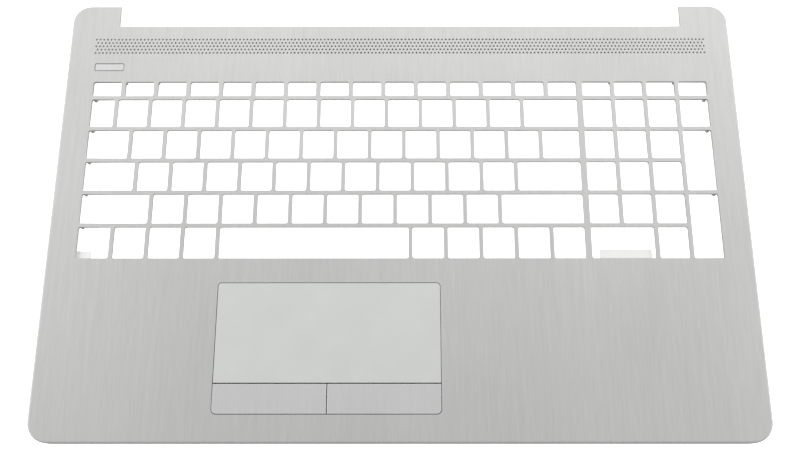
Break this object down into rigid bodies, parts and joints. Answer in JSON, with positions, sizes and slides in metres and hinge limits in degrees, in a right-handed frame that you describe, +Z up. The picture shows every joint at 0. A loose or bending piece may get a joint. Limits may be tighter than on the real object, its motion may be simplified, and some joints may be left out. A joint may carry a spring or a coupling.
{
  "type": "laptop palm rest",
  "caption": "Moulded laptop palm rest and keyboard cover with key openings, perforated rear band, hinge ears, power button, touchpad and click buttons.",
  "frame": {"origin": "middle of the footprint, on the lower edge of the rim", "axes": "+X to the user's right, +Y to the rear where the display hinges sit, +Z up out of the palm rest"},
  "size_m": [0.376, 0.246, 0.007],
  "materials": {
    "cover_silver": "silver metallic paint with fine brushed streaks",
    "button_silver": "silver satin paint",
    "pad_face": "fine matt sheet",
    "steel": "zinc-coated sheet",
    "screw_steel": "satin",
    "circuit_board": "green solder mask",
    "black_plastic": "matt",
    "connector_plastic": "ivory, matt",
    "switch_metal": "stamped cover",
    "brass": "knurled",
    "mesh": "dark woven mesh",
    "film": "pale translucent film"
  },
  "bodies": {
    "cover": {"top_cover": "cover_silver", "touchpad_bracket": "steel", "touchpad_surface": "pad_face", "touchpad_board": "circuit_board", "touchpad_chip": "black_plastic", "touchpad_connector": "connector_plastic", "button_board": "circuit_board", "button_switch_left": "switch_metal", "button_switch_right": "switch_metal", "button_board_connector": "connector_plastic", "power_button_board": "circuit_board", "power_board_connector": "connector_plastic", "power_switch": "switch_metal", "touchpad_bracket_screws": "screw_steel", "button_board_screws": "screw_steel", "power_board_screws": "screw_steel", "cover_inserts": "brass", "hinge_inserts_left": "brass", "hinge_inserts_right": "brass", "grille_mesh": "mesh", "film_strip_left": "film", "film_strip_right": "film"},
    "power_button": {"power_button": "button_silver", "power_switch_stem": "black_plastic"},
    "pad_button_left": {"touchpad_button_left": "button_silver", "button_switch_left_stem": "black_plastic"},
    "pad_button_right": {"touchpad_button_right": "button_silver", "button_switch_right_stem": "black_plastic"}
  },
  "joints": [
    {"name": "power_button_press", "type": "slide", "parent": "cover", "child": "power_button", "axis": [0, 0, -1], "range_m": [0, 0.00035], "stiffness_N_per_m": 400},
    {"name": "pad_button_left_press", "type": "hinge", "parent": "cover", "child": "pad_button_left", "pos_m": [-0.06638, -0.1165, 0.0048], "axis": [-1, 0, 0], "range_deg": [0, 1.2], "stiffness_Nm_per_rad": 1.2},
    {"name": "pad_button_right_press", "type": "hinge", "parent": "cover", "child": "pad_button_right", "pos_m": [-0.00792, -0.1165, 0.0048], "axis": [-1, 0, 0], "range_deg": [0, 1.2], "stiffness_Nm_per_rad": 1.2}
  ]
}
